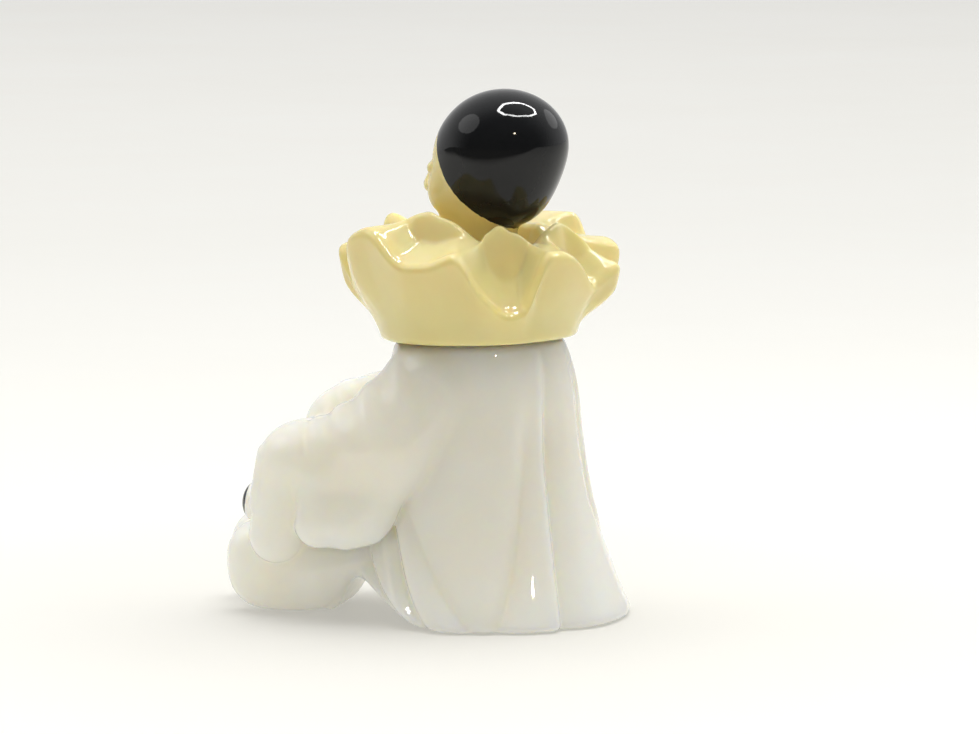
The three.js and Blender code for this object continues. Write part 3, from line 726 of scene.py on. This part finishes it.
def black_paint(shader):
    """Glossy black enamel with faint waves and a few dulled spots."""
    tone = shader.mix(shader.span(shader.noise(9, 3), 0, 1), linear(22, 23, 25), linear(27, 28, 30))
    dull = shader.span(shader.noise(2.2, 5, 0.65), 0.03, 0.12, 0.5, 0.78)
    wave = shader.bump(shader.noise(6, 2), 0.04)
    grain = shader.bump(shader.noise(0.35, 2), 0.004, normal=wave)
    return shader.principled(tone, dull, grain, IOR=1.36)


def opal_glass():
    """Polished opal glass: milky, a little warmer in its depth, with soft ripples from the mould."""
    shader = Shader("opal_glass")
    cloud = shader.span(shader.noise(26, 3), 0, 1)
    tone = shader.mix(cloud, linear(244, 241, 230), linear(248, 247, 240))
    gloss = shader.span(shader.noise(5, 4, 0.6), 0.03, 0.07)
    ripple = shader.bump(shader.noise(8, 2), 0.1)
    pits = shader.bump(shader.noise(0.9, 3), 0.004, normal=ripple)
    glass = shader.principled(
        tone, gloss, pits, IOR=1.5, Subsurface_Weight=1.0, Subsurface_Scale=0.011,
        Subsurface_Radius=(1.0, 0.86, 0.58),
    )
    return shader.finish(shader.painted(glass, black_paint(shader), 0.05))


def cream_plastic():
    """Glossy moulded cream plastic, yellowed a little unevenly, under the black of the skullcap."""
    shader = Shader("cream_plastic")
    age = shader.span(shader.noise(14, 3), 0, 1)
    tone = shader.mix(age, linear(240, 224, 156), linear(244, 229, 167))
    gloss = shader.span(shader.noise(3, 4, 0.6), 0.03, 0.07)
    flow = shader.bump(shader.noise(7, 2), 0.1)
    grain = shader.bump(shader.noise(0.8, 2), 0.002, normal=flow)
    plastic = shader.principled(
        tone, gloss, grain, IOR=1.5, Subsurface_Weight=0.5, Subsurface_Scale=0.0035,
        Subsurface_Radius=(1.0, 0.7, 0.28),
    )
    return shader.finish(shader.painted(plastic, black_paint(shader)))


def pale_floor():
    """A pale sheet that glows, its glow weaker under the object as a painted shadow, and dark out of sight
    toward the camera as painted shade.
    """
    shader = Shader("pale_floor")
    away = shader.add("ShaderNodeVectorMath", operation="DISTANCE")
    shader.set(away, i0=shader.place, i1=(0, -0.012, 0))
    # Painted shadow: the floor's glow falls to NEAR_GLOW within NEAR_FADE of the object's middle.
    near = shader.span(away.outputs["Value"], NEAR_GLOW, 1, *NEAR_FADE)
    toward = shader.add("ShaderNodeVectorMath", operation="DOT_PRODUCT")
    shader.set(toward, i0=shader.place, i1=(math.sin(DARK_BEARING), -math.cos(DARK_BEARING), 0))
    # Painted shade: toward the dark side of the room the floor's tone turns dark and its glow fades to
    # FAR_GLOW.
    dark_side_painted_shade = shader.span(toward.outputs["Value"], 1, FAR_GLOW, *DARK_FADE)
    tone = shader.mix(shader.span(shader.noise(300, 2), 0, 1), linear(190, 188, 180), linear(193, 191, 184))
    tone = shader.mix(dark_side_painted_shade, linear(40, 39, 36), tone)
    grain = shader.bump(shader.noise(1.5, 2), 0.01)
    floor = shader.principled(tone, shader.span(shader.noise(40, 2), 0.75, 0.85), grain, IOR=1.3)
    level = shader.add("ShaderNodeMath", operation="MULTIPLY")
    shader.set(level, i0=near, i1=dark_side_painted_shade)
    strength = shader.add("ShaderNodeMath", operation="MULTIPLY")
    shader.set(strength, i0=level.outputs[0], i1=FLOOR_GLOW)
    glow = shader.add("ShaderNodeEmission")
    shader.set(glow, Color=linear(252, 252, 250), Strength=strength.outputs[0])
    both = shader.add("ShaderNodeAddShader")
    shader.set(both, i0=floor, i1=glow.outputs[0])
    return shader.finish(both.outputs[0])


# Stage, light and camera
def make_floor():
    mesh = bpy.data.meshes.new("floor")
    reach = FLOOR_REACH
    corners = [(-reach, -reach, 0), (reach, -reach, 0), (reach, reach, 0), (-reach, reach, 0)]
    mesh.from_pydata(corners, [], [(0, 1, 2, 3)])
    mesh.materials.append(pale_floor())
    floor = bpy.data.objects.new("floor", mesh)
    bpy.context.scene.collection.objects.link(floor)


def area_light(name, place, target, size, watts, colour=(1, 1, 1), shape="RECTANGLE"):
    data = bpy.data.lights.new(name, "AREA")
    data.shape = shape
    data.size, data.size_y = size
    data.energy = watts
    data.color = colour
    light = bpy.data.objects.new(name, data)
    light.location = place
    light.rotation_euler = (Vector(target) - Vector(place)).to_track_quat("-Z", "Y").to_euler()
    bpy.context.scene.collection.objects.link(light)
    return light


def make_ring():
    """An octagonal ring lamp overhead, seen only in the gloss."""
    ring = HEAD_MIDDLE + RING_MIDDLE
    turns = np.arange(RING_SIDES) * 2 * math.pi / RING_SIDES + RING_START
    corners = [ring + RING_ACROSS * math.cos(a) + RING_ALONG * math.sin(a) for a in turns]
    for i, (a, b) in enumerate(zip(corners, corners[1:] + corners[:1])):
        middle = (a + b) / 2
        size = (STRIP_WIDTH, (b - a).length)
        strip = area_light(f"ring_{i}", middle, middle - Vector((0, 0, 1)), size, STRIP_WATTS)
        strip.rotation_euler = (0, 0, math.atan2(b.y - a.y, b.x - a.x) - math.pi / 2)
        strip.visible_diffuse = False


def make_lights():
    """Two soft round boxes and a small warm lamp, seen only in the gloss, and fills that no gloss shows."""
    for name, bearing, height, size, watts in SOFT_BOXES:
        a, e = math.radians(bearing), math.radians(height)
        way = Vector((math.sin(a) * math.cos(e), -math.cos(a) * math.cos(e), math.sin(e)))
        soft = area_light(name, HEAD_MIDDLE + SOFT_DISTANCE * way, HEAD_MIDDLE, size, watts, shape="ELLIPSE")
        soft.visible_diffuse = False
    place, size = HEAD_MIDDLE + LAMP_DISTANCE * LAMP_WAY, (LAMP_SIZE, LAMP_SIZE)
    lamp = area_light("lamp", place, HEAD_MIDDLE, size, LAMP_WATTS, (1, 0.86, 0.62), "ELLIPSE")
    lamp.visible_diffuse = False
    for name, place, size, watts, colour in FILLS:
        fill = area_light(name, place, (0, 0, 0.04), (size, size), watts, colour)
        fill.visible_glossy = False


def make_world():
    """A room that is bright beyond the object and dark behind the camera."""
    world = bpy.data.worlds.new("studio")
    world.use_nodes = True
    nodes, links = world.node_tree.nodes, world.node_tree.links
    nodes.clear()
    way = nodes.new("ShaderNodeTexCoord").outputs["Generated"]
    facing = nodes.new("ShaderNodeVectorMath")
    facing.operation = "DOT_PRODUCT"
    facing.inputs[1].default_value = (-math.sin(CAMERA_BEARING), math.cos(CAMERA_BEARING), 0)
    links.new(way, facing.inputs[0])
    level = nodes.new("ShaderNodeMapRange")
    level.interpolation_type = "SMOOTHSTEP"
    for i, value in enumerate(ROOM_SHADE, 1):
        level.inputs[i].default_value = value
    links.new(facing.outputs["Value"], level.inputs[0])
    sky = nodes.new("ShaderNodeBackground")
    sky.inputs["Color"].default_value = (1, 1, 1, 1)
    links.new(level.outputs["Result"], sky.inputs["Strength"])
    links.new(sky.outputs[0], nodes.new("ShaderNodeOutputWorld").inputs["Surface"])
    bpy.context.scene.world = world


def make_camera():
    data = bpy.data.cameras.new("camera")
    data.sensor_width = SENSOR_WIDTH
    data.lens = CAMERA_LENS
    data.clip_start, data.clip_end = 0.05, 50
    camera = bpy.data.objects.new("camera", data)
    x = CAMERA_DISTANCE * math.sin(CAMERA_BEARING)
    y = -CAMERA_DISTANCE * math.cos(CAMERA_BEARING)
    camera.location = (x, y, CAMERA_HEIGHT)
    camera.rotation_euler = (AIM - camera.location).to_track_quat("-Z", "Y").to_euler()
    bpy.context.scene.collection.objects.link(camera)
    bpy.context.scene.camera = camera


make_figure(opal_glass())
make_cap(cream_plastic())
make_floor()
make_ring()
make_lights()
make_world()
make_camera()
bpy.context.scene.view_settings.view_transform = "Standard"
